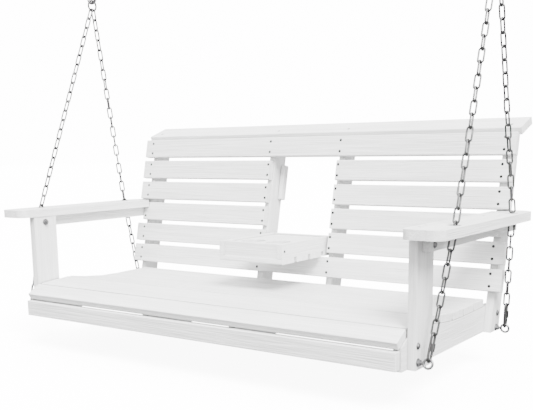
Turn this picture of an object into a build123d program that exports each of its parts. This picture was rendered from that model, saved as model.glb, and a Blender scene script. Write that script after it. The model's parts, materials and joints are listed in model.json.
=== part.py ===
from build123d import *
import math
import os

os.makedirs("parts", exist_ok=True)

# Porch swing with a fold-down console, hung on chains from two ceiling hooks.
# Millimetres. +Z is up, +X runs along the bench, -Y is the front.
# The origin lies on the ceiling plane, midway between the two hooks.
# The bench is laid out from a datum on the front face of the bottom back slat,
# half way up it; the names ending in _y and _z are measured from that datum.

# ---- lumber ----
board = 22.0                  # thickness of posts, rails, stiles and slats
edge_round = 2.5              # eased edge of the lumber
fit_gap = 0.5                 # gap left between boards that meet without a fastener

# ---- across the bench ----
bench_half = 650.0            # outer face of the side seat rails
middle_stile_x = 134.0        # centre of each middle stile
arm_inner_overhang = 2.0      # arm board past the inner face of the post
arm_width = 104.0
seat_inset = 4.0              # seat slats and apron stop short of the rail's outer face

# ---- back ----
recline = 12.5                # degrees from vertical
row_count = 6
row_pitch = 76.5
slat_width = 63.0
stile_depth = 60.0
split_inset = 4.0             # split slats stop short of the middle stile's inner face
screw_spacing = 35.0          # between the two screws of a slat at a stile
cap_width = 89.0
cap_tilt = 20.0
cap_overhang = 3.0            # cap past the slat ends
cap_setback = 6.4             # cap's lower front edge behind the top slat's rear corner
cap_drop = 4.1                # and below it

# ---- seat ----
seat_bottom_z = -147.0        # underside of rails, posts and stiles
seat_gap = 3.4                # between the nearest edges of two seat slats
seat_slat_width = 69.2
rear_slats = 5
rail_front_y = -518.0
rail_rear_y = 58.0
apron_gap = 2.0               # between the apron and the front slat
apron_height = 47.0
nose_width = 52.0             # front slat, sloping down to the front
nose_angle = 30.0
broad_width = 113.0           # broad second slat
broad_angle = -4.5
nose_clear = 1.2              # between the lower edges of the front slat and the broad slat
seat_start_y = -491.0         # rear top edge of the front slat
seat_start_z = -48.0
rear_angles = (8.5, 5.5, 1.0, -1.0, -1.0)

# ---- posts and arms ----
post_front_y = -489.0
post_width = 88.0
arm_top_z = 188.0
arm_board = 24.0
arm_front_y = -538.0
arm_rear_y = 90.0
arm_corner = 28.0
arm_rear_corner = 45.0
arm_rail_height = 33.0
arm_rail_front_y = -466.0
arm_rail_rear_y = 108.0
arm_mid_screw_y = -120.0
arm_rear_screw_y = 62.0

# ---- chains ----
chain_hole_r = 16.0
chain_hole_out = 50.0         # hole's centre out from the post's outer face
front_hole_y = -401.0
rear_hole_y = -13.0
link_wire = 4.8
link_width = 19.0
link_pitch = 33.0
link_gap = 0.25               # slack left between two linked wires
links_below = 8               # links from the quick link up to the arm
front_links_above = 21
rear_links_above = 20
quick_wire = 6.0
quick_width = 24.0
quick_length = 74.0
sleeve_length = 19.0
sleeve_r = 5.25
ring_wire = 6.0               # welded ring that joins the two legs of a chain
ring_r = 17.0                 # to the middle of its wire

# ---- ceiling hooks ----
hook_wire = 10.0
hook_radius = 17.0
hook_neck = 10.0
hook_sweep = 250.0            # degrees of the curl
shank_length = 70.0
flange_r = 12.0
flange_thickness = 3.0
hook_gap = 0.3                # ring above the hook's rod
hook_out = 36.0               # each hook out from the post's outer face

# ---- eye bolts and bolts ----
eye_wire = 6.0
eye_inner_r = 8.0
eye_reach = 26.0              # from the post's face to the middle of the eye
front_eye_y = -478.0
front_eye_z = -128.0
rear_eye_y = 30.0
rear_eye_z = -138.0
bolt_d = 8.0
bolt_hole_gap = 0.25
bolt_head_r = 9.0
bolt_head_height = 4.0
washer_r = 10.0
washer_thickness = 1.6
nut_width = 13.0
nut_height = 6.0
bolt_tail = 3.0               # thread past the nut
front_bolt_z = -89.0
rear_bolt_y = 38.0
rear_bolt_z = -98.0
arm_bolt_front_y = -445.0
arm_bolt_z = 146.0

# ---- wood screws ----
screw_head_r = 4.2
screw_head_height = 2.6
screw_shank_r = 2.1
screw_length = 42.0
screw_gap = 0.1

# ---- console ----
console_side_gap = 6.0        # between the console and each middle stile
console_slat_thickness = 16.0
console_box_height = 43.0
console_board = 19.0          # side, front and rear boards
console_rest_gap = 1.0        # above the bottom back slat when folded down
pivot_edge = 9.0              # pivot behind the front faces of the middle stiles
pivot_d = 8.0
pivot_gap = 0.05
pivot_inset = 1.0             # pin's end inside the side board's inner face
console_tail = 24.0           # side board behind the pivot
console_slats = 4
console_screw_shift = 14.0    # slat screws forward of the slat's middle, clear of the pivot
front_inset = 3.0             # front board behind the ends of the side boards
tray_thickness = 12.0
tray_recess = 4.0
tray_gap = 0.5
cup_r = 39.0
cup_x = 48.0                  # each cup's centre from the middle
cup_back = 82.0               # cups' centres behind the console's front
cleat_gap = 0.5               # between the cleats and the console folded up
cleat_thickness = 16.0
cleat_start = 12.5            # cleats start this far below the middle of row 3
cleat_length = 116.0

# ---- values worked out from the sizes above ----
lean = math.radians(recline)
rail_inner = bench_half - board
stile_outer = bench_half + board
slat_half = stile_outer + board
chain_hole_x = stile_outer + chain_hole_out
hook_x = stile_outer + hook_out
outer_screw_x = bench_half + board / 2
screw_columns = (-outer_screw_x, -middle_stile_x, middle_stile_x, outer_screw_x)
hook_rod_r = hook_wire / 2
hook_turn = hook_neck * (1 - math.cos(math.radians(45)))
hook_slope = hook_radius * math.sin(math.radians(45)) - hook_turn
hook_start_z = -hook_neck - hook_neck * math.sin(math.radians(45))
hook_centre_z = hook_start_z - hook_slope - hook_radius * math.sin(math.radians(45))
pivot_z = hook_centre_z - hook_radius
hook_ring_drop = ring_r - ring_wire / 2 - hook_rod_r - hook_gap
eye_r = eye_inner_r + eye_wire / 2
eye_x = stile_outer + eye_reach
link_length = link_pitch + link_wire + link_gap
quick_straight = quick_length - quick_wire
arm_bottom_z = arm_top_z - arm_board
arm_mid_z = arm_top_z - arm_board / 2


def bend_point(eye, hole):
    """Where the chain bends at the arm: on the line from the eye to the hole, at the end of a link."""
    pull = (hole - eye).normalized()
    first_joint = eye_r + quick_straight - eye_wire / 2 - quick_wire - 1.5 * link_gap
    return eye + pull * (first_joint + links_below * link_pitch)


def leg_reach(links):
    """Distance from the bend at the arm to the middle of the ring that the leg hangs from."""
    return links * link_pitch + ring_r - (ring_wire + link_gap) / 2


front_eye = Vector(eye_x, front_eye_y, front_eye_z)
rear_eye = Vector(eye_x, rear_eye_y, rear_eye_z)
front_bend = bend_point(front_eye, Vector(chain_hole_x, front_hole_y, arm_mid_z))
rear_bend = bend_point(rear_eye, Vector(chain_hole_x, rear_hole_y, arm_mid_z))


def apex_place():
    """Bench y and z of the ring, where the two legs of a chain meet over the bench."""
    front = math.sqrt(leg_reach(front_links_above) ** 2 - (front_bend.X - hook_x) ** 2)
    rear = math.sqrt(leg_reach(rear_links_above) ** 2 - (rear_bend.X - hook_x) ** 2)
    span_y = rear_bend.Y - front_bend.Y
    span_z = rear_bend.Z - front_bend.Z
    span = math.hypot(span_y, span_z)
    along = (front ** 2 - rear ** 2 + span ** 2) / (2 * span)
    rise = math.sqrt(front ** 2 - along ** 2)
    y = front_bend.Y + along * span_y / span - rise * span_z / span
    z = front_bend.Z + along * span_z / span + rise * span_y / span
    return y, z


apex_y, apex_z = apex_place()
datum_y = -apex_y
datum_z = pivot_z - hook_ring_drop - apex_z
post_rear_y = post_front_y + post_width
arm_inner = bench_half - arm_inner_overhang
arm_outer = arm_inner + arm_width
arm_rail_bottom_z = arm_bottom_z - arm_rail_height
pivot_height = board + pivot_edge
middle_inner = middle_stile_x - board / 2
middle_outer = middle_stile_x + board / 2
console_half = middle_inner - console_side_gap

datum = Vector(0, datum_y, datum_z)
back_plane = Plane(origin=datum, x_dir=(1, 0, 0), z_dir=(0, -math.cos(lean), math.sin(lean)))


def side_plane(x):
    """Plane of constant x whose own axes are y and z of the bench datum."""
    return Plane(origin=datum + Vector(x, 0, 0), x_dir=(0, 1, 0), z_dir=(1, 0, 0))


def side_face(side, x):
    """Plane facing outward at distance x from the middle; its own x and y are bench y and z."""
    face = side_plane(side * x)
    return face if side > 0 else Plane(origin=face.origin, x_dir=(0, 1, 0), z_dir=(-1, 0, 0))


def side_spot(side, place):
    """A bench y, z place written on a plane made by side_face."""
    return place if side > 0 else (place[0], -place[1])


def level_plane(z):
    """Level plane at height z above the bench datum."""
    return Plane(origin=datum + Vector(0, 0, z))


def back_y(z, depth):
    """Bench y at height z of the plane that lies depth behind the slats' front faces."""
    return z * math.tan(lean) + depth / math.cos(lean)


def row_centre(row):
    """Distance up the back of the middle of a row; row 1 is the top one."""
    return (row_count - row) * row_pitch


def finish(piece, name):
    """Label a piece and write its STEP file."""
    piece.part.label = name
    export_step(piece.part, f"parts/{name}.step")
    return piece.part


def mirror_name(side):
    return "right" if side > 0 else "left"


def across(side, low, high):
    """Extrusion start and length, along +X, of a slab between two distances from the middle."""
    start = low if side > 0 else -high
    return start, high - low


# ---- where fasteners go ----
front_bolts = ((front_eye_y, front_bolt_z), (front_eye_y, front_eye_z))
rear_bolts = ((rear_bolt_y, rear_bolt_z), (rear_eye_y, rear_eye_z))
rear_arm_bolt = (back_y(arm_bolt_z, board + stile_depth / 2), arm_bolt_z)
front_arm_bolt = (arm_bolt_front_y, arm_bolt_z)
side_rail_holes = front_bolts + rear_bolts
post_holes = front_bolts + (front_arm_bolt,)
stile_holes = rear_bolts + (rear_arm_bolt,)
arm_rail_holes = (front_arm_bolt, rear_arm_bolt)
middle_bolts = (
    (back_y(rear_bolt_z, board + stile_depth / 2), rear_bolt_z),
    (back_y(rear_eye_z + nut_width, board + stile_depth / 2), rear_eye_z + nut_width),
)

# ---- console pivot, from where the console rests and where it stands folded up ----
rest_z = (slat_width / 2) * math.cos(lean) + console_rest_gap
pivot_depth = pivot_height
pivot_up = (rest_z + pivot_depth * math.sin(lean) + pivot_height) / math.cos(lean)
pivot_y = pivot_up * math.sin(lean) + pivot_depth * math.cos(lean)
pivot_height_z = rest_z + pivot_height
console_bottom_z = rest_z
console_box_z = console_bottom_z + console_slat_thickness
console_top_z = console_box_z + console_box_height
console_front_y = pivot_y - (row_centre(2) + slat_width / 2 - pivot_up)
console_rear_y = pivot_y + console_tail

# ---- cap plane: it lies on the stiles, its front edge behind the top slat ----
top_edge = row_centre(1) + slat_width / 2
cap_front_y = top_edge * math.sin(lean) + board * math.cos(lean) + cap_setback
cap_front_z = top_edge * math.cos(lean) - board * math.sin(lean) - cap_drop
cap_lean = math.radians(cap_tilt)


def cap_under(y):
    """Bench z of the cap's underside at y."""
    return cap_front_z + (y - cap_front_y) * math.tan(cap_lean)


# ---- seat slat places: front top corner, slope and width of each slat ----
def seat_places():
    nose = math.radians(nose_angle)
    places = [(
        seat_start_y - nose_width * math.cos(nose),
        seat_start_z - nose_width * math.sin(nose),
        -nose_angle,
        nose_width,
    )]
    y = seat_start_y + board * (math.sin(nose) + math.sin(math.radians(broad_angle))) + nose_clear
    z = seat_start_z
    slopes = (broad_angle,) + rear_angles
    widths = (broad_width,) + (seat_slat_width,) * rear_slats
    for number, (slope, width) in enumerate(zip(slopes, widths)):
        tip = math.radians(slope)
        places.append((y, z, slope, width))
        next_tip = math.radians(slopes[min(number + 1, rear_slats)])
        closing = max(0.0, board * (math.sin(next_tip) - math.sin(tip)))
        y += width * math.cos(tip) + seat_gap + closing
        z -= width * math.sin(tip)
    return places


seat_slots = seat_places()
nose_lower_z = seat_slots[0][1] - board * math.cos(math.radians(nose_angle))
apron_top_z = nose_lower_z - apron_gap
screw_pilot = screw_shank_r + screw_gap
seat_half = bench_half - seat_inset


def seat_plane(place):
    """Plane of a seat slat's upper face, its own y running back from the front corner."""
    y, z, slope, width = place
    tip = math.radians(slope)
    return Plane(
        origin=datum + Vector(0, y, z),
        x_dir=(1, 0, 0),
        z_dir=(0, math.sin(tip), math.cos(tip)),
    )


apron_plane = Plane(
    origin=datum + Vector(0, rail_front_y - board, apron_top_z - apron_height / 2),
    x_dir=(1, 0, 0),
    z_dir=(0, -1, 0),
)
arm_screws = [
    (outer_screw_x, post_front_y + post_width / 3),
    (outer_screw_x, post_rear_y - post_width / 4),
    (stile_outer + board / 2, arm_mid_screw_y),
    (stile_outer + board / 2, arm_rear_screw_y),
]


def arm_pilots(side, spots):
    """Screw holes down from the arm board."""
    return [(level_plane(arm_top_z), (side * x, y)) for x, y in spots]


def slat_under(place):
    """The two lower corners of a seat slat, front first."""
    y, z, slope, width = place
    tip = math.radians(slope)
    down = (-board * math.sin(tip), -board * math.cos(tip))
    front = (y + down[0], z + down[1])
    rear = (front[0] + width * math.cos(tip), front[1] - width * math.sin(tip))
    return front, rear


def rail_outline():
    """Seat rail outline: flat seats under the slats, joined half way across each gap."""
    points = [(rail_front_y, seat_bottom_z)]
    under = [slat_under(place) for place in seat_slots]
    nose_front, nose_rear = under[0]
    share = (rail_front_y - nose_front[0]) / (nose_rear[0] - nose_front[0])
    points.append((rail_front_y, nose_front[1] + share * (nose_rear[1] - nose_front[1])))
    points.append(nose_rear)
    for front, rear in under[1:]:
        points.append(front)
        points.append(rear)
    points.append((rail_rear_y, under[-1][1][1]))
    points.append((rail_rear_y, seat_bottom_z))
    return points


def slab(x, length, points, holes, pilots, name):
    """A board cut from an outline on a side plane, with bolt holes across it and screw holes."""
    with BuildPart() as piece:
        with BuildSketch(side_plane(x)):
            with BuildLine():
                Polyline(*points, close=True)
            make_face()
            if holes:
                with Locations(*holes):
                    Circle(bolt_d / 2 + bolt_hole_gap, mode=Mode.SUBTRACT)
        extrude(amount=length)
        for plane, spot in pilots:
            with BuildSketch(plane):
                with Locations(spot):
                    Circle(screw_pilot)
            extrude(amount=-(screw_length + 1), mode=Mode.SUBTRACT)
    return finish(piece, name)


# ---- front posts, from the seat's underside to the arms ----
post_points = [
    (post_front_y, seat_bottom_z),
    (post_rear_y, seat_bottom_z),
    (post_rear_y, arm_bottom_z),
    (post_front_y, arm_bottom_z),
]
for side in (-1, 1):
    start, length = across(side, bench_half, stile_outer)
    pilots = arm_pilots(side, arm_screws[:2])
    slab(start, length, post_points, post_holes, pilots, f"front_post_{mirror_name(side)}")

# ---- seat rails: two side rails and two middle rails ----
rail_points = rail_outline()
for side in (-1, 1):
    start, length = across(side, rail_inner, bench_half)
    slab(start, length, rail_points, side_rail_holes, [], f"side_rail_{mirror_name(side)}")
    start, length = across(side, middle_outer, middle_outer + board)
    slab(start, length, rail_points, middle_bolts, [], f"middle_rail_{mirror_name(side)}")

# ---- back stiles, leaning back, cut level below and to the cap above ----
stile_low_front = back_y(seat_bottom_z, board)
stile_low_rear = back_y(seat_bottom_z, board + stile_depth)


def stile_top(depth):
    """Where the line at this depth behind the slats meets the cap's underside."""
    offset = depth / math.cos(lean)
    z = (cap_front_z + (offset - cap_front_y) * math.tan(cap_lean)) / (1 - math.tan(lean) * math.tan(cap_lean))
    return back_y(z, depth), z


stile_points = [
    (stile_low_front, seat_bottom_z),
    (stile_low_rear, seat_bottom_z),
    stile_top(board + stile_depth),
    stile_top(board),
]
stile_sides = (
    ("outer_stile_left", -stile_outer, stile_holes),
    ("middle_stile_left", -middle_outer, middle_bolts),
    ("middle_stile_right", middle_inner, middle_bolts),
    ("outer_stile_right", bench_half, stile_holes),
)
screw_rows = {
    row: [row_centre(row) - screw_spacing / 2, row_centre(row) + screw_spacing / 2]
    for row in range(1, row_count + 1)
}
cap_mid_y = stile_top(board + stile_depth / 2)[0]
cap_plane = Plane(
    origin=datum + Vector(0, cap_front_y, cap_front_z),
    x_dir=(1, 0, 0),
    z_dir=(0, -math.sin(cap_lean), math.cos(cap_lean)),
)
cap_screw_up = (cap_mid_y - cap_front_y) / math.cos(cap_lean)
pivot_centre = (pivot_y, pivot_height_z)

for name, start, holes in stile_sides:
    middle = start + board / 2
    screws = [(middle, up) for ups in screw_rows.values() for up in ups]
    with BuildPart() as stile:
        with BuildSketch(side_plane(start)):
            with BuildLine():
                Polyline(*stile_points, close=True)
            make_face()
            with Locations(*holes):
                Circle(bolt_d / 2 + bolt_hole_gap, mode=Mode.SUBTRACT)
            if "middle" in name:
                with Locations(pivot_centre):
                    Circle(pivot_d / 2 + bolt_hole_gap, mode=Mode.SUBTRACT)
        extrude(amount=board)
        with BuildSketch(back_plane.offset(-board)):
            with Locations(*screws):
                Circle(screw_pilot)
        extrude(amount=-(screw_length - board + 1), mode=Mode.SUBTRACT)
        with BuildSketch(cap_plane):
            with Locations((middle, cap_screw_up)):
                Circle(screw_pilot)
        extrude(amount=-(screw_length - board + 1), mode=Mode.SUBTRACT)
    finish(stile, name)


def flat_slat(plane, low_x, high_x, centre, width, thickness, screws, name):
    """A slat lying on a plane: its face up, screws let in flush from that face."""
    with BuildPart() as slat:
        with BuildSketch(plane):
            with Locations(((low_x + high_x) / 2, centre)):
                Rectangle(high_x - low_x, width)
        extrude(amount=-thickness)
        fillet(slat.edges().filter_by(Axis.X), edge_round)
        if screws:
            with BuildSketch(plane):
                with Locations(*screws):
                    Circle(screw_head_r + screw_gap)
            extrude(amount=-(screw_head_height + screw_gap), mode=Mode.SUBTRACT)
            with BuildSketch(plane):
                with Locations(*screws):
                    Circle(screw_pilot)
            extrude(amount=-thickness, mode=Mode.SUBTRACT)
    return finish(slat, name)


# ---- back slats: full-width rows 1 and 6, split rows between ----
split_half = middle_inner + split_inset


def beside_arm(row):
    """Whether a row is level with the arm, which then passes its end."""
    low = (row_centre(row) - slat_width / 2) * math.cos(lean) - board * math.sin(lean)
    high = (row_centre(row) + slat_width / 2) * math.cos(lean)
    return high > arm_rail_bottom_z and low < arm_top_z


for row in range(1, row_count + 1):
    outer = stile_outer if beside_arm(row) else slat_half
    ups = screw_rows[row]
    if row in (1, row_count):
        spots = [(x, up) for x in screw_columns for up in ups]
        flat_slat(back_plane, -outer, outer, row_centre(row), slat_width, board, spots, f"back_slat_{row}")
    else:
        for side in (-1, 1):
            spots = [(side * x, up) for x in (middle_stile_x, outer_screw_x) for up in ups]
            low, high = sorted((side * split_half, side * outer))
            flat_slat(
                back_plane, low, high, row_centre(row), slat_width, board, spots,
                f"back_slat_{row}_{mirror_name(side)}",
            )

# ---- cap board on top of the stiles ----
cap_half = slat_half + cap_overhang
cap_top = cap_plane.offset(board)
with BuildPart() as cap:
    with BuildSketch(cap_top):
        with Locations((0, cap_width / 2)):
            Rectangle(2 * cap_half, cap_width)
    extrude(amount=-board)
    fillet(cap.edges().filter_by(Axis.X), edge_round)
    with BuildSketch(cap_top):
        with Locations(*[(x, cap_screw_up) for x in screw_columns]):
            Circle(screw_head_r + screw_gap)
    extrude(amount=-(screw_head_height + screw_gap), mode=Mode.SUBTRACT)
    with BuildSketch(cap_top):
        with Locations(*[(x, cap_screw_up) for x in screw_columns]):
            Circle(screw_pilot)
    extrude(amount=-board, mode=Mode.SUBTRACT)
finish(cap, "cap_board")

# ---- seat slats ----
for number, place in enumerate(seat_slots, 1):
    width = place[3]
    flat_slat(seat_plane(place), -seat_half, seat_half, width / 2, width, board, [], f"seat_slat_{number}")

# ---- apron across the front ----
flat_slat(apron_plane, -seat_half, seat_half, 0, apron_height, board, [], "front_apron")

# ---- arm rails under the arm boards, outside the posts and stiles ----
arm_rail_points = [
    (arm_rail_front_y, arm_rail_bottom_z),
    (arm_rail_rear_y, arm_rail_bottom_z),
    (arm_rail_rear_y, arm_bottom_z),
    (arm_rail_front_y, arm_bottom_z),
]
for side in (-1, 1):
    start, length = across(side, stile_outer, slat_half)
    pilots = arm_pilots(side, arm_screws[2:])
    slab(start, length, arm_rail_points, arm_rail_holes, pilots, f"arm_rail_{mirror_name(side)}")

# ---- arm boards, cut round the back, with a hole for each chain ----
arm_notch_y = back_y(arm_bottom_z, 0) - fit_gap
arm_notch_x = stile_outer + fit_gap
for side in (-1, 1):
    arm_points = [
        (side * arm_inner, arm_front_y),
        (side * arm_outer, arm_front_y),
        (side * arm_outer, arm_rear_y),
        (side * arm_notch_x, arm_rear_y),
        (side * arm_notch_x, arm_notch_y),
        (side * arm_inner, arm_notch_y),
    ]
    with BuildPart() as arm:
        with BuildSketch(level_plane(arm_top_z)):
            with BuildLine():
                Polyline(*arm_points, close=True)
            make_face()
            with Locations((side * chain_hole_x, front_hole_y), (side * chain_hole_x, rear_hole_y)):
                Circle(chain_hole_r, mode=Mode.SUBTRACT)
        extrude(amount=-arm_board)
        uprights = arm.edges().filter_by(GeomType.LINE).filter_by(Axis.Z)
        fillet(uprights.group_by(Axis.Y)[0], arm_corner)
        outer_rear = arm.edges().filter_by(GeomType.LINE).filter_by(Axis.Z).sort_by(Axis.Y)[-2:]
        fillet(outer_rear.sort_by_distance((side * 2 * arm_outer, 0, 0))[0], arm_rear_corner)
        with BuildSketch(level_plane(arm_top_z)):
            with Locations(*[(side * x, y) for x, y in arm_screws]):
                Circle(screw_head_r + screw_gap)
        extrude(amount=-(screw_head_height + screw_gap), mode=Mode.SUBTRACT)
        with BuildSketch(level_plane(arm_top_z)):
            with Locations(*[(side * x, y) for x, y in arm_screws]):
                Circle(screw_pilot)
        extrude(amount=-arm_board, mode=Mode.SUBTRACT)
    finish(arm, f"arm_board_{mirror_name(side)}")

# ---- stop cleats that the console leans on when folded up ----
cleat_depth = console_slat_thickness + console_box_height + cleat_gap
cleat_middle = row_centre(3) - cleat_start + cleat_length / 2
cleat_width = board + stile_depth - cleat_depth
for side in (-1, 1):
    start, length = across(side, middle_inner - cleat_thickness, middle_inner)
    with BuildPart() as cleat:
        with BuildSketch(back_plane.offset(-cleat_depth)):
            with Locations((start + length / 2, cleat_middle)):
                Rectangle(length, cleat_length)
        extrude(amount=-cleat_width)
        chamfer(cleat.edges().filter_by(Axis.X), edge_round)
    finish(cleat, f"stop_cleat_{mirror_name(side)}")

# ---- console: slats under a shallow box with two cup holes ----
console_under = Plane(origin=datum + Vector(0, 0, console_bottom_z), x_dir=(1, 0, 0), z_dir=(0, 0, -1))
console_screws = []
for number in range(1, console_slats + 1):
    middle = -(console_front_y + (number - 1) * row_pitch + slat_width / 2)
    spots = [(side * (console_half - console_board / 2), middle + console_screw_shift) for side in (-1, 1)]
    console_screws += [(console_under, spot) for spot in spots]
    flat_slat(
        console_under, -console_half, console_half, middle, slat_width, console_slat_thickness, spots,
        f"console_slat_{number}",
    )

console_side_points = [
    (console_front_y, console_box_z),
    (console_rear_y, console_box_z),
    (console_rear_y, console_top_z),
    (console_front_y, console_top_z),
]
front_board_y = console_front_y + front_inset
rear_board_y = console_rear_y - front_inset - console_board
console_mid_z = console_box_z + console_box_height / 2
end_screws = [(front_board_y + console_board / 2, console_mid_z), (rear_board_y + console_board / 2, console_mid_z)]
console_screws += [
    (side_face(side, console_half), side_spot(side, place)) for side in (-1, 1) for place in end_screws
]
console_side_inner = console_half - console_board
for side in (-1, 1):
    start, length = across(side, console_side_inner, console_half)
    with BuildPart() as console_side:
        with BuildSketch(side_plane(start)):
            with BuildLine():
                Polyline(*console_side_points, close=True)
            make_face()
            with Locations(pivot_centre):
                Circle(pivot_d / 2 + pivot_gap, mode=Mode.SUBTRACT)
        extrude(amount=length)
        rear_edges = console_side.edges().filter_by(GeomType.LINE).filter_by(Axis.X).group_by(Axis.Y)[-1]
        fillet(rear_edges, console_box_height / 4)
        for plane, spot in console_screws:
            with BuildSketch(plane):
                with Locations(spot):
                    Circle(screw_pilot)
            extrude(amount=-(screw_length + 1), mode=Mode.SUBTRACT)
        for place in end_screws:
            with BuildSketch(side_face(side, console_half)):
                with Locations(side_spot(side, place)):
                    Circle(screw_head_r + screw_gap)
            extrude(amount=-(screw_head_height + screw_gap), mode=Mode.SUBTRACT)
    finish(console_side, f"console_side_{mirror_name(side)}")

for name, front, place in (("front", front_board_y, end_screws[0]), ("rear", rear_board_y, end_screws[1])):
    with BuildPart() as console_end:
        with BuildSketch(level_plane(console_box_z)):
            with Locations((0, front + console_board / 2)):
                Rectangle(2 * console_side_inner, console_board)
        extrude(amount=console_box_height)
        for side in (-1, 1):
            with BuildSketch(side_face(side, console_side_inner)):
                with Locations(side_spot(side, place)):
                    Circle(screw_pilot)
            extrude(amount=-(screw_length - console_board + 1), mode=Mode.SUBTRACT)
    finish(console_end, f"console_{name}_board")

tray_front_y = front_board_y + console_board + tray_gap
tray_rear_y = rear_board_y - tray_gap
tray_z = console_top_z - tray_recess
with BuildPart() as tray:
    with BuildSketch(level_plane(tray_z)):
        with Locations((0, (tray_front_y + tray_rear_y) / 2)):
            Rectangle(2 * (console_side_inner - tray_gap), tray_rear_y - tray_front_y)
        with Locations((-cup_x, console_front_y + cup_back), (cup_x, console_front_y + cup_back)):
            Circle(cup_r, mode=Mode.SUBTRACT)
    extrude(amount=-tray_thickness)
finish(tray, "cup_tray")


# ---- screws ----
def screw_group(places, name):
    """Countersunk wood screws as one group: head flush with each plane, shank into the wood."""
    with BuildPart() as group:
        for plane, spot in places:
            with BuildSketch(plane.offset(-screw_gap)):
                with Locations(spot):
                    Circle(screw_head_r)
            extrude(amount=-screw_head_height)
            with BuildSketch(plane.offset(-screw_gap - screw_head_height)):
                with Locations(spot):
                    Circle(screw_shank_r)
            extrude(amount=-(screw_length - screw_head_height))
    return finish(group, name)


back_spots = [(x, up) for row in range(1, row_count + 1) for x in screw_columns for up in screw_rows[row]]
frame_screws = [(cap_top, (x, cap_screw_up)) for x in screw_columns]
frame_screws += [(level_plane(arm_top_z), (side * x, y)) for side in (-1, 1) for x, y in arm_screws]
screw_group([(back_plane, spot) for spot in back_spots], "back_screws")
screw_group(frame_screws, "frame_screws")
screw_group(console_screws, "console_screws")


# ---- bolts: each place is side, head's face, nut's face, then bench y and z ----
bolt_places = []
eye_places = []
for side in (-1, 1):
    bolt_places.append((side, stile_outer, rail_inner, front_bolts[0]))
    bolt_places.append((side, stile_outer, rail_inner, rear_bolts[0]))
    bolt_places.append((side, slat_half, bench_half, front_arm_bolt))
    bolt_places.append((side, slat_half, bench_half, rear_arm_bolt))
    bolt_places += [(side, middle_inner, middle_outer + board, place) for place in middle_bolts]
    eye_places.append((side, stile_outer, rail_inner, front_bolts[1]))
    eye_places.append((side, stile_outer, rail_inner, rear_bolts[1]))

with BuildPart() as bolts:
    for side, head_x, nut_x, place in bolt_places:
        inward = 1 if nut_x > head_x else -1
        spot = side_spot(side, place)
        with BuildSketch(side_face(side, head_x)):
            with Locations(spot):
                Circle(bolt_d / 2)
        extrude(amount=nut_x - head_x + inward * (washer_thickness + nut_height + bolt_tail))
        with BuildSketch(side_face(side, head_x)):
            with Locations(spot):
                Circle(bolt_head_r)
        with BuildSketch(side_face(side, head_x - inward * bolt_head_height)):
            with Locations(spot):
                Circle(bolt_head_r - bolt_head_height)
        loft()
finish(bolts, "carriage_bolts")


def ring_group(outline, height, start, name):
    """Nuts or washers as one group: on the nut side of every bolt, and outside as well on eye bolts."""
    outside = [(side, nut_x, head_x, place) for side, head_x, nut_x, place in eye_places]
    with BuildPart() as group:
        for side, head_x, nut_x, place in bolt_places + eye_places + outside:
            inward = 1 if nut_x > head_x else -1
            with BuildSketch(side_face(side, nut_x + inward * start)):
                with Locations(side_spot(side, place)):
                    add(outline)
                    Circle(bolt_d / 2 + screw_gap, mode=Mode.SUBTRACT)
            extrude(amount=inward * height)
    return finish(group, name)


with BuildSketch() as washer_outline:
    Circle(washer_r)
with BuildSketch() as nut_outline:
    RegularPolygon(nut_width / 2, 6, major_radius=False)
ring_group(washer_outline.sketch, washer_thickness, 0, "bolt_washers")
ring_group(nut_outline.sketch, nut_height, washer_thickness, "bolt_nuts")

# ---- console pivot pins: fixed in the middle stiles, the console turns on them ----
with BuildPart() as pivot_group:
    for side in (-1, 1):
        spot = side_spot(side, pivot_centre)
        with BuildSketch(side_face(side, middle_outer)):
            with Locations(spot):
                Circle(pivot_d / 2)
        extrude(amount=-(middle_outer - console_side_inner - pivot_inset))
        with BuildSketch(side_face(side, middle_outer)):
            with Locations(spot):
                Circle(bolt_head_r)
        with BuildSketch(side_face(side, middle_outer + bolt_head_height)):
            with Locations(spot):
                Circle(bolt_head_r - bolt_head_height)
        loft()
finish(pivot_group, "console_pivots")


# ---- chains ----
def oval_wire(straight, width, wire):
    """A closed wire link lying in the XY plane, its length along X."""
    half = (straight - width) / 2
    with BuildPart() as link:
        with BuildSketch(Plane.YZ):
            with Locations((-width / 2, 0), (width / 2, 0)):
                Circle(wire / 2)
        extrude(amount=half, both=True)
        for end in (-1, 1):
            with BuildSketch(Plane.YZ.offset(end * half)):
                with Locations((end * width / 2, 0)):
                    Circle(wire / 2)
            revolve(axis=Axis((end * half, 0, 0), (0, 0, -1)), revolution_arc=180)
    return link.part


chain_link = oval_wire(link_length, link_width - link_wire, link_wire)
quick_oval = oval_wire(quick_straight, quick_width - quick_wire, quick_wire)
with BuildPart() as quick_build:
    add(quick_oval)
    with BuildSketch(Plane.YZ.offset(-sleeve_length / 2)):
        with Locations(((quick_width - quick_wire) / 2, 0)):
            Circle(sleeve_r)
    extrude(amount=sleeve_length)
quick_link = quick_build.part


def link_plane(centre, pull, roll):
    """Plane of a link: its own x along the pull, turned about it by roll degrees from +X."""
    across_x = (Vector(1, 0, 0) - pull * pull.X).normalized()
    across_y = pull.cross(across_x)
    turn = math.radians(roll)
    flat = across_x * math.cos(turn) + across_y * math.sin(turn)
    return Plane(origin=centre, x_dir=pull, z_dir=pull.cross(flat))


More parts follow.
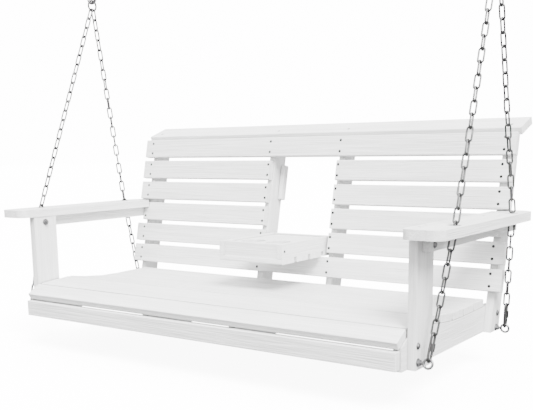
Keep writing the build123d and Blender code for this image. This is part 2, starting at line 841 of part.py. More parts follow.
def leg_planes(eye, bend, apex, links_above):
    """Planes of a leg's links from the quick link up, for a leg on the +X side."""
    lower = (bend - eye).normalized()
    upper = (apex - bend).normalized()
    total = links_below + links_above
    twist = 90.0 if total % 2 else 90.0 + 90.0 / total
    quick_middle = eye_r - eye_wire / 2 - quick_wire / 2 - link_gap + quick_straight / 2
    quick_plane = link_plane(eye + lower * quick_middle, lower, 90)
    planes = []
    for count in range(links_below):
        centre = bend - lower * ((links_below - count - 0.5) * link_pitch)
        planes.append(link_plane(centre, lower, 90 + (count + 1) * twist))
    for count in range(links_above):
        centre = bend + upper * ((count + 0.5) * link_pitch)
        planes.append(link_plane(centre, upper, 90 + (links_below + count + 1) * twist))
    return quick_plane, planes


apex = Vector(hook_x, apex_y, apex_z)
front_quick, front_planes = leg_planes(front_eye, front_bend, apex, front_links_above)
rear_quick, rear_planes = leg_planes(rear_eye, rear_bend, apex, rear_links_above)
to_bench = Location(datum)


def placed(solid, planes, sides, name):
    """Copies of a solid on bench planes, mirrored for the left side, written as one node."""
    with BuildPart() as group:
        for side in sides:
            for plane in planes:
                copy = solid.moved(to_bench * plane.location)
                add(copy if side > 0 else mirror(copy, about=Plane.YZ, mode=Mode.PRIVATE))
    return finish(group, name)


for side in (-1, 1):
    placed(chain_link, front_planes, (side,), f"front_chain_{mirror_name(side)}")
    placed(chain_link, rear_planes, (side,), f"rear_chain_{mirror_name(side)}")
placed(quick_link, (front_quick, rear_quick), (-1, 1), "quick_links")

# ---- eye bolts, their eyes turned to face the pull of the chain ----
with BuildPart() as eyes:
    for side in (-1, 1):
        for eye, bend in ((front_eye, front_bend), (rear_eye, rear_bend)):
            middle = datum + Vector(side * eye.X, eye.Y, eye.Z)
            pull = (bend - eye).normalized()
            lift = Vector(0, pull.Y, pull.Z).normalized()
            ring_plane = Plane(origin=middle, x_dir=(1, 0, 0), z_dir=Vector(1, 0, 0).cross(lift))
            with BuildSketch(ring_plane):
                Circle(eye_r + eye_wire / 2)
                Circle(eye_r - eye_wire / 2, mode=Mode.SUBTRACT)
            extrude(amount=eye_wire / 2, both=True)
            fillet(eyes.edges().filter_by(GeomType.CIRCLE).sort_by_distance(middle)[:4], eye_wire / 2 - 0.4)
            with BuildSketch(side_face(side, eye.X - eye_r)):
                with Locations(side_spot(side, (eye.Y, eye.Z))):
                    Circle(bolt_d / 2)
            reach = eye.X - eye_r - rail_inner + washer_thickness + nut_height + bolt_tail
            extrude(amount=-reach)
finish(eyes, "eye_bolts")

# ---- ring at the top of each chain, hooks in the ceiling ----
ring_centre = datum + Vector(0, apex_y, apex_z)
with BuildPart() as rings:
    for side in (-1, 1):
        with BuildSketch(Plane(origin=ring_centre + Vector(side * hook_x, ring_r, 0))):
            Circle(ring_wire / 2)
        revolve(axis=Axis(ring_centre, (1, 0, 0)))
finish(rings, "chain_rings")

for side in (-1, 1):
    hook_plane = Plane(origin=(side * hook_x, 0, 0), x_dir=(side, 0, 0), z_dir=(0, -side, 0))
    with BuildPart() as hook:
        with BuildSketch(Plane.XY.offset(shank_length)):
            with Locations((side * hook_x, 0)):
                Circle(hook_rod_r)
        extrude(amount=-(shank_length + hook_neck))
        with BuildLine(hook_plane):
            bend_in = TangentArc((0, -hook_neck), (-hook_turn, hook_start_z), tangent=(0, -1))
            slope = Line(bend_in @ 1, (-hook_turn - hook_slope, hook_start_z - hook_slope))
            curl = CenterArc((0, hook_centre_z), hook_radius, 135, hook_sweep)
        for run in (bend_in, slope, curl):
            with BuildSketch(Plane(origin=run @ 0, z_dir=run % 0)):
                Circle(hook_rod_r)
            sweep(path=run)
        with BuildSketch(Plane.XY.offset(-flange_thickness)):
            with Locations((side * hook_x, 0)):
                Circle(flange_r)
        extrude(amount=flange_thickness)
    finish(hook, f"ceiling_hook_{mirror_name(side)}")
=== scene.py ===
"""Looks of the porch swing: white painted boards, zinc chain and hardware, and a soft pale studio."""

import json
import logging
import math
from dataclasses import dataclass, field
from enum import Enum

import bmesh
import bpy
from mathutils import Matrix, Vector


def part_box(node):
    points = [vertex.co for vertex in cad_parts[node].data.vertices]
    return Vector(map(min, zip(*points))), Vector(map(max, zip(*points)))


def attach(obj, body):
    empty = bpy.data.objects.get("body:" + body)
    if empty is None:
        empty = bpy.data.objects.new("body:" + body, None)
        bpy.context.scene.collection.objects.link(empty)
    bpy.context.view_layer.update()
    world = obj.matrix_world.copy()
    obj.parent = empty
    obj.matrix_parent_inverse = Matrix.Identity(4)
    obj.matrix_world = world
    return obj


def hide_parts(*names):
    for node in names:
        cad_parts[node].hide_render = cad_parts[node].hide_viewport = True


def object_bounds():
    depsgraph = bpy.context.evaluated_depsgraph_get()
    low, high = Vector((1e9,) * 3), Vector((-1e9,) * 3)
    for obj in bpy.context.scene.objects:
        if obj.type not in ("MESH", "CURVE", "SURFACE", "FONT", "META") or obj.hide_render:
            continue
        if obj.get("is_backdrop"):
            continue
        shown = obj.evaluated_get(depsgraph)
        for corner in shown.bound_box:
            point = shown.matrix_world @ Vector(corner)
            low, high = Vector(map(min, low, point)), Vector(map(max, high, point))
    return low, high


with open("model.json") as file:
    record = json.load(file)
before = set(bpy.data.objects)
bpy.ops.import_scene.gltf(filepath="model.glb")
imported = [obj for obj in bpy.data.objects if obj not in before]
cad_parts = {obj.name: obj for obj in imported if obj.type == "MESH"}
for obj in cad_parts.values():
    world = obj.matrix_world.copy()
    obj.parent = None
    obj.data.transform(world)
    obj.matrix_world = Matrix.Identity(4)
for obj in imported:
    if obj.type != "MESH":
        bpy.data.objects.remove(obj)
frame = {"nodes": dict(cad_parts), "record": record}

LOG = logging.getLogger("porch_swing")
LEAN_DEG = 12.5          # how far the back leans
SAME_PLACE = 1e-5        # corners nearer than this are one corner, in metres


class Along(Enum):
    """The way a board's grain runs."""

    LENGTH = "length"
    DEPTH = "depth"
    HEIGHT = "height"
    LEAN = "lean"


def body_of(node: str) -> str:
    """Name of the moving body that a node belongs to.

    Args:
        node: a node's name.

    Returns:
        The body's name.
    """
    bodies = frame["record"]["behaviour"]["bodies"]
    return next(body for body, members in bodies.items() if node in members)


@dataclass(frozen=True)
class Finish:
    """Shared steps of every finish."""

    name: str

    def start(self) -> tuple[bpy.types.Material, bpy.types.NodeTree, bpy.types.Node]:
        """Make an empty node material.

        Returns:
            The material, its node tree and its main shader.
        """
        material = bpy.data.materials.new(self.name)
        material.use_nodes = True
        tree = material.node_tree
        return material, tree, tree.nodes["Principled BSDF"]

    @staticmethod
    def spread(
        tree: bpy.types.NodeTree, value: bpy.types.NodeSocket, ends: tuple[float, float]
    ) -> bpy.types.NodeSocket:
        """Stretch a value between nought and one over a range.

        Args:
            tree: the material's nodes.
            value: the value to stretch.
            ends: what nought and one become.

        Returns:
            The stretched value.
        """
        node = tree.nodes.new("ShaderNodeMapRange")
        node.inputs["To Min"].default_value, node.inputs["To Max"].default_value = ends
        tree.links.new(value, node.inputs["Value"])
        return node.outputs["Result"]

    @staticmethod
    def relief(
        tree: bpy.types.NodeTree, height: bpy.types.NodeSocket, strength: float, depth: float
    ) -> bpy.types.NodeSocket:
        """Turn a height into ridges on the surface.

        Args:
            tree: the material's nodes.
            height: the height, between nought and one.
            strength: how strongly the ridges show.
            depth: their height in metres.

        Returns:
            The changed surface direction.
        """
        bump = tree.nodes.new("ShaderNodeBump")
        bump.inputs["Strength"].default_value = strength
        bump.inputs["Distance"].default_value = depth
        tree.links.new(height, bump.inputs["Height"])
        return bump.outputs["Normal"]


@dataclass(frozen=True)
class Streaks:
    """One layer of grain.

    Attributes:
        scale: repeats per metre along the grain and across it both ways.
        detail: how many finer layers are added.
    """

    scale: tuple[float, float, float]
    detail: float


@dataclass(frozen=True)
class PaintedWood(Finish):
    """White paint over wood whose grain still shows as fine ridges, with painted shade darkening it in tight
    joints.

    Attributes:
        along: the way the grain runs.
        tone: the paint's colour on the flats.
        shade: its colour down in the grain.
        roughness: middle roughness of the paint.
        gloss_spread: how far the roughness goes under and over that.
        depth: height of the grain ridges in metres.
        ridge_strength: how strongly the ridges show.
        joint_shade_colour: colour of the painted shade that darkens the paint in and near tight joints.
        joint_shade_reach: how far out of a joint the painted shade reaches, in metres.
        joint_shade_open: how open a place is where the painted shade ends and where plain paint starts.
        fibres: the finest grain.
        fibre_ends: where a fibre starts and is full.
        bands: broader bands of grain.
        band_ends: where a band starts and is full.
        band_share: how much the bands count in the height.
        patches: patches of duller paint.
        least_tone: share of the flat's colour that the deepest grain keeps.
    """

    along: Along = Along.LENGTH
    tone: tuple[float, float, float] = (0.74, 0.74, 0.738)
    shade: tuple[float, float, float] = (0.44, 0.44, 0.437)
    roughness: float = 0.42
    gloss_spread: tuple[float, float] = (0.09, 0.12)
    depth: float = 0.0016
    ridge_strength: float = 0.55
    joint_shade_colour: tuple[float, float, float] = (0.20, 0.20, 0.197)
    joint_shade_reach: float = 0.012
    joint_shade_open: tuple[float, float] = (0.15, 0.75)
    fibres: Streaks = Streaks((7.0, 300.0, 300.0), 5.0)
    fibre_ends: tuple[float, float] = (0.40, 0.62)
    bands: Streaks = Streaks((2.2, 60.0, 60.0), 3.0)
    band_ends: tuple[float, float] = (0.36, 0.60)
    band_share: float = 0.45
    patches: Streaks = Streaks((1.2, 9.0, 9.0), 2.0)
    least_tone: float = 0.45

    def turn(self) -> tuple[float, float, float]:
        """Rotation that brings the board's length onto the pattern's first axis."""
        turns = {
            Along.LENGTH: (0.0, 0.0, 0.0),
            Along.DEPTH: (0.0, 0.0, math.radians(90)),
            Along.HEIGHT: (0.0, math.radians(90), 0.0),
            Along.LEAN: (0.0, math.radians(90), 0.0),
        }
        return turns[self.along]

    def build(self) -> bpy.types.Material:
        """Make the material.

        Returns:
            The finished material.
        """
        material, tree, shader = self.start()
        links = tree.links
        turned = self._grain_space(tree)
        height = self._height(tree, turned)
        links.new(self._colour(tree, height), shader.inputs["Base Color"])
        under, over = self.gloss_spread
        patches = self._streaks(tree, turned, self.patches)
        sheen = self.spread(tree, patches, (self.roughness - under, self.roughness + over))
        links.new(sheen, shader.inputs["Roughness"])
        links.new(self.relief(tree, height, self.ridge_strength, self.depth), shader.inputs["Normal"])
        return material

    def _grain_space(self, tree: bpy.types.NodeTree) -> bpy.types.Node:
        """Places on the board, turned so that the grain runs along the first axis.

        Args:
            tree: the material's nodes.

        Returns:
            The node that gives the turned places.
        """
        source = tree.nodes.new("ShaderNodeTexCoord").outputs["Object"]
        if self.along is Along.LEAN:
            upright = tree.nodes.new("ShaderNodeMapping")
            upright.inputs["Rotation"].default_value = (math.radians(LEAN_DEG), 0.0, 0.0)
            tree.links.new(source, upright.inputs["Vector"])
            source = upright.outputs["Vector"]
        turned = tree.nodes.new("ShaderNodeMapping")
        turned.inputs["Rotation"].default_value = self.turn()
        tree.links.new(source, turned.inputs["Vector"])
        return turned

    def _height(self, tree: bpy.types.NodeTree, turned: bpy.types.Node) -> bpy.types.NodeSocket:
        """Height of the grain: fine fibres and broader bands.

        Args:
            tree: the material's nodes.
            turned: the node whose first axis runs along the grain.

        Returns:
            The height.
        """
        height = tree.nodes.new("ShaderNodeMix")
        height.data_type = "FLOAT"
        height.inputs["Factor"].default_value = self.band_share
        layers = ((self.fibres, self.fibre_ends, "A"), (self.bands, self.band_ends, "B"))
        for streaks, ends, side in layers:
            ramp = tree.nodes.new("ShaderNodeValToRGB")
            for element, end in zip(ramp.color_ramp.elements, ends):
                element.position = end
            tree.links.new(self._streaks(tree, turned, streaks), ramp.inputs["Fac"])
            tree.links.new(ramp.outputs["Color"], height.inputs[side])
        return height.outputs["Result"]

    def _colour(self, tree: bpy.types.NodeTree, height: bpy.types.NodeSocket) -> bpy.types.NodeSocket:
        """Colour of the paint: shaded in the grain, and darkened by painted shade in and near tight joints.

        Args:
            tree: the material's nodes.
            height: height of the grain.

        Returns:
            The colour.
        """
        nodes, links = tree.nodes, tree.links
        colour = nodes.new("ShaderNodeMix")
        colour.data_type = "RGBA"
        colour.inputs["A"].default_value = (*self.shade, 1.0)
        colour.inputs["B"].default_value = (*self.tone, 1.0)
        links.new(self.spread(tree, height, (self.least_tone, 1.0)), colour.inputs["Factor"])
        # Painted shade: paint within a short reach of other surfaces turns towards a dark colour, so joints
        # and gaps look shaded.
        joint_occlusion = nodes.new("ShaderNodeAmbientOcclusion")
        joint_occlusion.samples = 8
        joint_occlusion.inputs["Distance"].default_value = self.joint_shade_reach
        unshaded_share = nodes.new("ShaderNodeMapRange")
        unshaded_share.inputs["From Min"].default_value, unshaded_share.inputs["From Max"].default_value = self.joint_shade_open
        links.new(joint_occlusion.outputs["AO"], unshaded_share.inputs["Value"])
        joint_shaded = nodes.new("ShaderNodeMix")
        joint_shaded.data_type = "RGBA"
        joint_shaded.inputs["A"].default_value = (*self.joint_shade_colour, 1.0)
        links.new(colour.outputs["Result"], joint_shaded.inputs["B"])
        links.new(unshaded_share.outputs["Result"], joint_shaded.inputs["Factor"])
        return joint_shaded.outputs["Result"]

    def _streaks(
        self,
        tree: bpy.types.NodeTree,
        turned: bpy.types.Node,
        streaks: Streaks,
    ) -> bpy.types.NodeSocket:
        """Noise drawn out along the grain.

        Args:
            tree: the material's nodes.
            turned: the node whose first axis runs along the grain.
            streaks: how the noise is drawn out.

        Returns:
            The noise's value.
        """
        stretch = tree.nodes.new("ShaderNodeMapping")
        stretch.inputs["Scale"].default_value = streaks.scale
        noise = tree.nodes.new("ShaderNodeTexNoise")
        noise.inputs["Scale"].default_value = 1.0
        noise.inputs["Detail"].default_value = streaks.detail
        noise.inputs["Roughness"].default_value = 0.55
        noise.inputs["Distortion"].default_value = 0.35
        tree.links.new(turned.outputs["Vector"], stretch.inputs["Vector"])
        tree.links.new(stretch.outputs["Vector"], noise.inputs["Vector"])
        return noise.outputs["Fac"]


@dataclass(frozen=True)
class PlatedSteel(Finish):
    """Plated steel, dulled a little outdoors.

    Attributes:
        bright: colour where it is clean.
        dull: colour where it has weathered.
        smooth: roughness where it is clean.
        rough: roughness where it has weathered.
        blotches: blotches per metre.
        pitting: depth of the weathering in metres.
    """

    bright: tuple[float, float, float] = (0.30, 0.30, 0.305)
    dull: tuple[float, float, float] = (0.10, 0.10, 0.102)
    smooth: float = 0.24
    rough: float = 0.5
    blotches: float = 160.0
    pitting: float = 0.0002

    def build(self) -> bpy.types.Material:
        """Make the material.

        Returns:
            The finished material.
        """
        material, tree, shader = self.start()
        nodes, links = tree.nodes, tree.links
        place = nodes.new("ShaderNodeTexCoord")
        blotch = nodes.new("ShaderNodeTexNoise")
        blotch.inputs["Scale"].default_value = self.blotches
        blotch.inputs["Detail"].default_value = 5.0
        links.new(place.outputs["Object"], blotch.inputs["Vector"])
        colour = nodes.new("ShaderNodeMix")
        colour.data_type = "RGBA"
        colour.inputs["A"].default_value = (*self.bright, 1.0)
        colour.inputs["B"].default_value = (*self.dull, 1.0)
        links.new(blotch.outputs["Fac"], colour.inputs["Factor"])
        links.new(colour.outputs["Result"], shader.inputs["Base Color"])
        worn = blotch.outputs["Fac"]
        links.new(self.spread(tree, worn, (self.smooth, self.rough)), shader.inputs["Roughness"])
        links.new(self.relief(tree, worn, 0.25, self.pitting), shader.inputs["Normal"])
        shader.inputs["Metallic"].default_value = 1.0
        return material


class PaintShop:
    """Mixes each finish once and hands it out."""

    def __init__(self) -> None:
        """Make every finish."""
        self.boards = {along: PaintedWood(f"paint_{along.value}", along).build() for along in Along}
        self.zinc = PlatedSteel("zinc_plate").build()
        self.chain = PlatedSteel("chain_steel", (0.14, 0.14, 0.14), (0.045, 0.045, 0.045), 0.32, 0.55).build()
        self.screw = PlatedSteel("dark_screw", (0.05, 0.05, 0.05), (0.02, 0.02, 0.02), 0.35, 0.6).build()


@dataclass
class Joinery:
    """Boards of one sub-assembly, with eased edges.

    Attributes:
        shop: where the finishes come from.
        ease: radius of the eased edges in metres.
        flat: two faces that meet within this angle are one face, in radians.
        corner: edges sharper than this are eased, in radians.
        boards: node names and the way each one's grain runs.
    """

    shop: PaintShop
    ease: float = 0.0022
    flat: float = 0.01
    corner: float = math.radians(35)
    boards: dict[str, Along] = field(default_factory=dict)

    def build(self) -> list[bpy.types.Object]:
        """Make every board.

        Returns:
            The new pieces.
        """
        return [self.dress(self.shape(node), node, along) for node, along in self.boards.items()]

    def shape(self, node: str) -> bpy.types.Object:
        """A board with the node's shape and softened edges.

        Args:
            node: the node it stands for.

        Returns:
            The new piece.
        """
        mesh = frame["nodes"][node].data.copy()
        mesh.name = f"{node}_board"
        work = bmesh.new()
        work.from_mesh(mesh)
        bmesh.ops.remove_doubles(work, verts=work.verts, dist=SAME_PLACE)
        within = [e for e in work.edges if len(e.link_faces) == 2 and e.calc_face_angle(0.0) < self.flat]
        bmesh.ops.dissolve_edges(work, edges=within, use_verts=True)
        work.to_mesh(mesh)
        work.free()
        piece = bpy.data.objects.new(f"{node}_board", mesh)
        bpy.context.scene.collection.objects.link(piece)
        return piece

    def dress(self, piece: bpy.types.Object, node: str, along: Along) -> bpy.types.Object:
        """Ease the edges, paint the board and fix it to its body.

        Args:
            piece: the board.
            node: the node it stands for.
            along: the way its grain runs.

        Returns:
            The same piece.
        """
        easing = piece.modifiers.new("eased_edges", "BEVEL")
        easing.width = self.ease
        easing.segments = 3
        easing.limit_method = "ANGLE"
        easing.angle_limit = self.corner
        easing.harden_normals = False
        piece.data.materials.clear()
        piece.data.materials.append(self.shop.boards[along])
        for face in piece.data.polygons:
            face.use_smooth = False
        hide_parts(node)
        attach(piece, body_of(node))
        LOG.info("board %s, grain along its %s", piece.name, along.value)
        return piece


def named(starts: tuple[str, ...], along: Along) -> dict[str, Along]:
    """Every node whose name starts in one of the given ways.

    Args:
        starts: beginnings of node names.
        along: the way their grain runs.

    Returns:
        Node names and their grain.
    """
    return {node: along for node in sorted(frame["nodes"]) if node.startswith(starts)}


@dataclass
class Seat(Joinery):
    """Seat slats, apron, rails and posts."""

    def __post_init__(self) -> None:
        """List the boards."""
        self.boards = {
            **named(("seat_slat", "front_apron"), Along.LENGTH),
            **named(("side_rail", "middle_rail"), Along.DEPTH),
            **named(("front_post",), Along.HEIGHT),
        }


@dataclass
class Back(Joinery):
    """Back slats, cap, stiles and stop cleats."""

    def __post_init__(self) -> None:
        """List the boards."""
        self.boards = {
            **named(("back_slat", "cap_board"), Along.LENGTH),
            **named(("outer_stile", "middle_stile", "stop_cleat"), Along.LEAN),
        }


@dataclass
class Arms(Joinery):
    """Arm boards and the rails under them."""

    def __post_init__(self) -> None:
        """List the boards."""
        self.boards = named(("arm_board", "arm_rail"), Along.DEPTH)


@dataclass
class Console(Joinery):
    """Fold-down console: slats, box boards and cup tray."""

    ease: float = 0.0016

    def __post_init__(self) -> None:
        """List the boards."""
        self.boards = {
            **named(("console_slat", "console_front", "console_rear", "cup_tray"), Along.LENGTH),
            **named(("console_side",), Along.DEPTH),
        }


@dataclass
class CrossScrews:
    """Countersunk screws with a cross socket, in place of a group of plain ones.

    Attributes:
        shop: where the finishes come from.
        node: the group they stand for.
        sides: corners round each head.
        socket_depth: depth of the cross in metres.
        arm_half: half width of each arm of the cross in metres.
        arm_share: reach of each arm as a share of the head's radius.
        taper: size of the cross at its floor as a share of its size at the top.
        end_band: how much of each end is looked at to measure a plain screw, in metres.
    """

    shop: PaintShop
    node: str
    sides: int = 24
    socket_depth: float = 0.0014
    arm_half: float = 0.0005
    arm_share: float = 0.62
    taper: float = 0.8
    end_band: float = 0.0021

    def build(self) -> bpy.types.Object:
        """Make the whole group as one piece.

        Returns:
            The new piece.
        """
        work = bmesh.new()
        screws = self.places()
        for top, way, length, head, shank in screws:
            self.screw(work, top, way, length, head, shank)
        bmesh.ops.recalc_face_normals(work, faces=work.faces)
        mesh = bpy.data.meshes.new(f"{self.node}_cross")
        work.to_mesh(mesh)
        work.free()
        piece = bpy.data.objects.new(f"{self.node}_cross", mesh)
        bpy.context.scene.collection.objects.link(piece)
        mesh.materials.append(self.shop.screw)
        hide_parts(self.node)
        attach(piece, body_of(self.node))
        LOG.info("%d screws in %s", len(screws), self.node)
        return piece

    def places(self) -> list[tuple[Vector, Vector, float, float, float]]:
        """Where each screw of the group is.

        Returns:
            For each: middle of its top, the way into the wood, length, head radius, shank radius.
        """
        work = bmesh.new()
        work.from_mesh(frame["nodes"][self.node].data)
        bmesh.ops.remove_doubles(work, verts=work.verts, dist=SAME_PLACE)
        left = dict.fromkeys(work.verts)
        found = []
        while left:
            stack, island = [left.popitem()[0]], []
            while stack:
                vert = stack.pop()
                island.append(vert.co.copy())
                for edge in vert.link_edges:
                    other = edge.other_vert(vert)
                    if other in left:
                        del left[other]
                        stack.append(other)
            found.append(self.measure(island))
        work.free()
        return found

    def measure(self, points: list[Vector]) -> tuple[Vector, Vector, float, float, float]:
        """Size and place of one plain screw.

        Args:
            points: its corners.

        Returns:
            Middle of its top, the way into the wood, length, head radius, shank radius.
        """
        first = points[0]
        far = max(points, key=lambda p: (p - first).length)
        near = max(points, key=lambda p: (p - far).length)
        rough = (far - near).normalized()
        spread = sorted(points, key=lambda p: p.dot(rough))
        low = [p for p in spread if p.dot(rough) < spread[0].dot(rough) + self.end_band]
        high = [p for p in spread if p.dot(rough) > spread[-1].dot(rough) - self.end_band]
        one = sum(low, Vector()) / len(low)
        two = sum(high, Vector()) / len(high)
        wide_one = max((p - one).length for p in low)
        wide_two = max((p - two).length for p in high)
        top, tip = (one, two) if wide_one > wide_two else (two, one)
        head, shank = max(wide_one, wide_two), min(wide_one, wide_two)
        way = (tip - top).normalized()
        reach = [(p - top).dot(way) for p in points]
        start, end = min(reach), max(reach)
        return top + way * start, way, end - start, head, min(shank, head / 2)

    def screw(
        self, work: bmesh.types.BMesh, top: Vector, way: Vector, length: float, head: float, shank: float
    ) -> None:
        """Add one screw.

        Args:
            work: the mesh that is being built.
            top: middle of the head's upper face.
            way: the way into the wood.
            length: from the top to the tip.
            head: radius of the head.
            shank: radius of the shank.
        """
        across = way.orthogonal().normalized()
        beside = way.cross(across)

        def spot(x: float, y: float, deep: float) -> bmesh.types.BMVert:
            """A corner at a place across the head and a depth below its top."""
            return work.verts.new(top + across * x + beside * y + way * deep)

        def ring(radius: float, deep: float) -> list[bmesh.types.BMVert]:
            """A ring of corners round the screw."""
            turn = math.tau / self.sides
            angles = [i * turn for i in range(self.sides)]
            return [spot(radius * math.cos(angle), radius * math.sin(angle), deep) for angle in angles]

        rings = [
            ring(head, 0.0),
            ring(shank, head - shank),
            ring(shank, length - 2 * shank),
            ring(shank / 4, length),
        ]
        for upper, lower in zip(rings, rings[1:]):
            for i in range(self.sides):
                j = (i + 1) % self.sides
                work.faces.new((upper[i], upper[j], lower[j], lower[i]))
        work.faces.new(rings[-1])
        reach, half = head * self.arm_share, self.arm_half
        cross = [
            (reach, half), (half, half), (half, reach), (-half, reach), (-half, half), (-reach, half),
            (-reach, -half), (-half, -half), (-half, -reach), (half, -reach), (half, -half), (reach, -half),
        ]
        rim = [spot(x, y, 0.0) for x, y in cross]
        floor = [spot(x * self.taper, y * self.taper, self.socket_depth) for x, y in cross]
        for i in range(len(cross)):
            j = (i + 1) % len(cross)
            work.faces.new((rim[i], rim[j], floor[j], floor[i]))
        work.faces.new(floor)
        edges = self._loop(work, rings[0]) + self._loop(work, rim)
        bmesh.ops.triangle_fill(work, use_beauty=True, use_dissolve=False, edges=edges)

    @staticmethod
    def _loop(work: bmesh.types.BMesh, verts: list[bmesh.types.BMVert]) -> list[bmesh.types.BMEdge]:
        """Edges of a closed run of corners.

        Args:
            work: the mesh that holds them.
            verts: the corners in order.

        Returns:
            The edges between them.
        """
        return [work.edges.get((verts[i - 1], verts[i])) for i in range(len(verts))]


@dataclass
class Hardware:
    """Chains, hooks and bolts, kept as they were designed.

    Attributes:
        shop: where the finishes come from.
    """

    shop: PaintShop

    def dress(self) -> None:
        """Give each piece of metal its finish."""
        for node in sorted(frame["nodes"]):
            slot = next(p["material_slot"] for p in frame["record"]["subparts"] if p["node"] == node)
            if slot == "white_wood" or node.endswith("_screws"):
                continue
            metal = self.shop.zinc
            if node.startswith(("front_chain", "rear_chain", "chain_rings", "quick_links")):
                metal = self.shop.chain
            mesh = frame["nodes"][node].data
            mesh.materials.clear()
            mesh.materials.append(metal)
            LOG.info("metal %s in %s", node, metal.name)


@dataclass
class Camera:
    """Three-quarter view from the front right.

    Attributes:
        from_post: the lens from the low front corner of the right front post, in metres.
        across: sideways place of the lens, in metres.
        yaw: turn to the left of straight back, in radians.
        pitch: tilt up, in radians.
        roll: turn about the line of sight, in radians.
        lens: focal length in millimetres on a 36 mm sensor.
        shift: sideways and upward shift of the frame.
    """

    from_post: tuple[float, float] = (-1.727, 0.517)
    across: float = 1.482
    yaw: float = 0.6203
    pitch: float = -0.1752
    roll: float = -0.0151
    lens: float = 56.3
    shift: tuple[float, float] = (0.0008, 0.1696)

    def build(self) -> bpy.types.Object:
        """Make the camera.

        Returns:
            The camera.
        """
        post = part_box("front_post_right")[0]
        place = Vector((self.across, post[1] + self.from_post[0], post[2] + self.from_post[1]))
        ahead = Vector((
            -math.sin(self.yaw) * math.cos(self.pitch),
            math.cos(self.yaw) * math.cos(self.pitch),
            math.sin(self.pitch),
        ))
        level = Vector((math.cos(self.yaw), math.sin(self.yaw), 0.0))
        upward = level.cross(ahead)
        right = level * math.cos(self.roll) + upward * math.sin(self.roll)
        up = upward * math.cos(self.roll) - level * math.sin(self.roll)
        data = bpy.data.cameras.new("view_camera")
        data.lens = self.lens
        data.sensor_width = 36.0
        data.sensor_fit = "HORIZONTAL"
        data.shift_x, data.shift_y = self.shift
        data.clip_end = 100.0
        camera = bpy.data.objects.new("view_camera", data)
        bpy.context.scene.collection.objects.link(camera)
        turn = Matrix((right, up, -ahead)).transposed().to_4x4()
        camera.matrix_world = Matrix.Translation(place) @ turn
        bpy.context.scene.camera = camera
        LOG.info("camera with a %.1f mm lens", self.lens)
        return camera


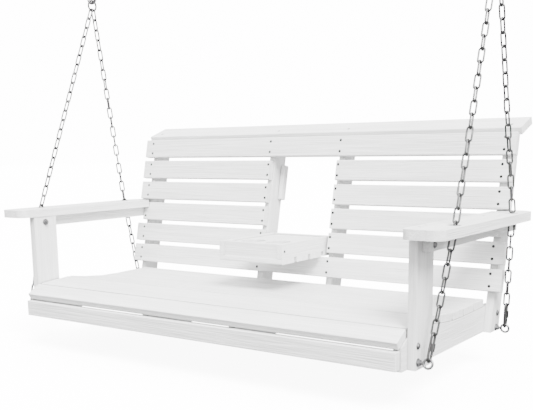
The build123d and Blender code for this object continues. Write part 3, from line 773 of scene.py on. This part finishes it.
@dataclass
class Studio:
    """Pale floor and soft light.

    Attributes:
        drop: height of the bench's underside over the floor, in metres.
        floor_size: width of the floor in metres.
        fill: strength of the light from all round and above.
        fill_below: strength of the light from below.
        backdrop: brightness of the far background.
        floor_glow: brightness that the floor has of its own.
        sun: strength of the main light.
        sun_from: the way the main light comes from.
        sun_width: how wide the main light looks, in degrees.
        sun_away: how far the main light stands from the swing, in metres.
        dusk: height of a direction at which the light from above is full, and from below likewise.
    """

    drop: float = 0.10
    floor_size: float = 60.0
    fill: float = 3.6
    fill_below: float = 0.5
    backdrop: float = 15.0
    floor_glow: float = 9.0
    sun: float = 15.0
    sun_from: tuple[float, float, float] = (0.52, -0.38, 0.76)
    sun_width: float = 28.0
    sun_away: float = 3.0
    dusk: float = 0.35

    def build(self) -> None:
        """Make the floor, the lights and the surrounding light."""
        low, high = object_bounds()
        level = low[2] - self.drop
        self._floor(level)
        self._main_light((Vector(low) + Vector(high)) / 2)
        self._surround()
        LOG.info("studio with its floor at %.3f m", level)

    def _surround(self) -> None:
        """Even light from all round, in front of a brighter background."""
        world = bpy.data.worlds.new("pale_room")
        world.use_nodes = True
        nodes, links = world.node_tree.nodes, world.node_tree.links
        back = nodes["Background"]
        back.inputs["Color"].default_value = (1.0, 1.0, 1.0, 1.0)
        way = nodes.new("ShaderNodeTexCoord")
        split = nodes.new("ShaderNodeSeparateXYZ")
        links.new(way.outputs["Generated"], split.inputs["Vector"])
        soft = nodes.new("ShaderNodeMapRange")
        soft.inputs["From Min"].default_value = -self.dusk
        soft.inputs["From Max"].default_value = self.dusk
        soft.inputs["To Min"].default_value = self.fill_below
        soft.inputs["To Max"].default_value = self.fill
        links.new(split.outputs["Z"], soft.inputs["Value"])
        seen = nodes.new("ShaderNodeLightPath")
        strength = nodes.new("ShaderNodeMix")
        strength.data_type = "FLOAT"
        links.new(seen.outputs["Is Camera Ray"], strength.inputs["Factor"])
        links.new(soft.outputs["Result"], strength.inputs["A"])
        strength.inputs["B"].default_value = self.backdrop
        links.new(strength.outputs["Result"], back.inputs["Strength"])
        bpy.context.scene.world = world

    def _floor(self, level: float) -> None:
        """A wide pale floor.

        Args:
            level: its height.
        """
        half = self.floor_size / 2
        mesh = bpy.data.meshes.new("pale_floor")
        corner_list = [(-half, -half, level), (half, -half, level), (half, half, level), (-half, half, level)]
        mesh.from_pydata(corner_list, [], [(0, 1, 2, 3)])
        floor = bpy.data.objects.new("pale_floor", mesh)
        bpy.context.scene.collection.objects.link(floor)
        material = bpy.data.materials.new("floor_paint")
        material.use_nodes = True
        shader = material.node_tree.nodes["Principled BSDF"]
        shader.inputs["Base Color"].default_value = (0.95, 0.95, 0.95, 1.0)
        shader.inputs["Roughness"].default_value = 0.9
        shader.inputs["Emission Color"].default_value = (1.0, 1.0, 1.0, 1.0)
        shader.inputs["Emission Strength"].default_value = self.floor_glow
        mesh.materials.append(material)
        floor.visible_diffuse = False
        floor.visible_glossy = False
        floor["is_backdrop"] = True

    def _main_light(self, target: Vector) -> None:
        """A wide soft light from above and in front.

        Args:
            target: the middle of the swing.
        """
        data = bpy.data.lights.new("main_light", "SUN")
        data.energy = self.sun
        data.angle = math.radians(self.sun_width)
        lamp = bpy.data.objects.new("main_light", data)
        bpy.context.scene.collection.objects.link(lamp)
        way = Vector(self.sun_from)
        lamp.location = target + way * self.sun_away
        lamp.rotation_euler = way.to_track_quat("Z", "Y").to_euler()


def main() -> None:
    """Build the looks in order."""
    logging.basicConfig(level=logging.INFO, format="%(name)s: %(message)s")
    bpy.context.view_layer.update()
    Camera().build()
    Studio().build()
    shop = PaintShop()
    for assembly in (Seat(shop), Back(shop), Arms(shop), Console(shop)):
        made = assembly.build()
        LOG.info("%s has %d boards", type(assembly).__name__, len(made))
    for group in ("back_screws", "frame_screws", "console_screws"):
        CrossScrews(shop, group).build()
    Hardware(shop).dress()


if __name__ == "__main__":
    main()
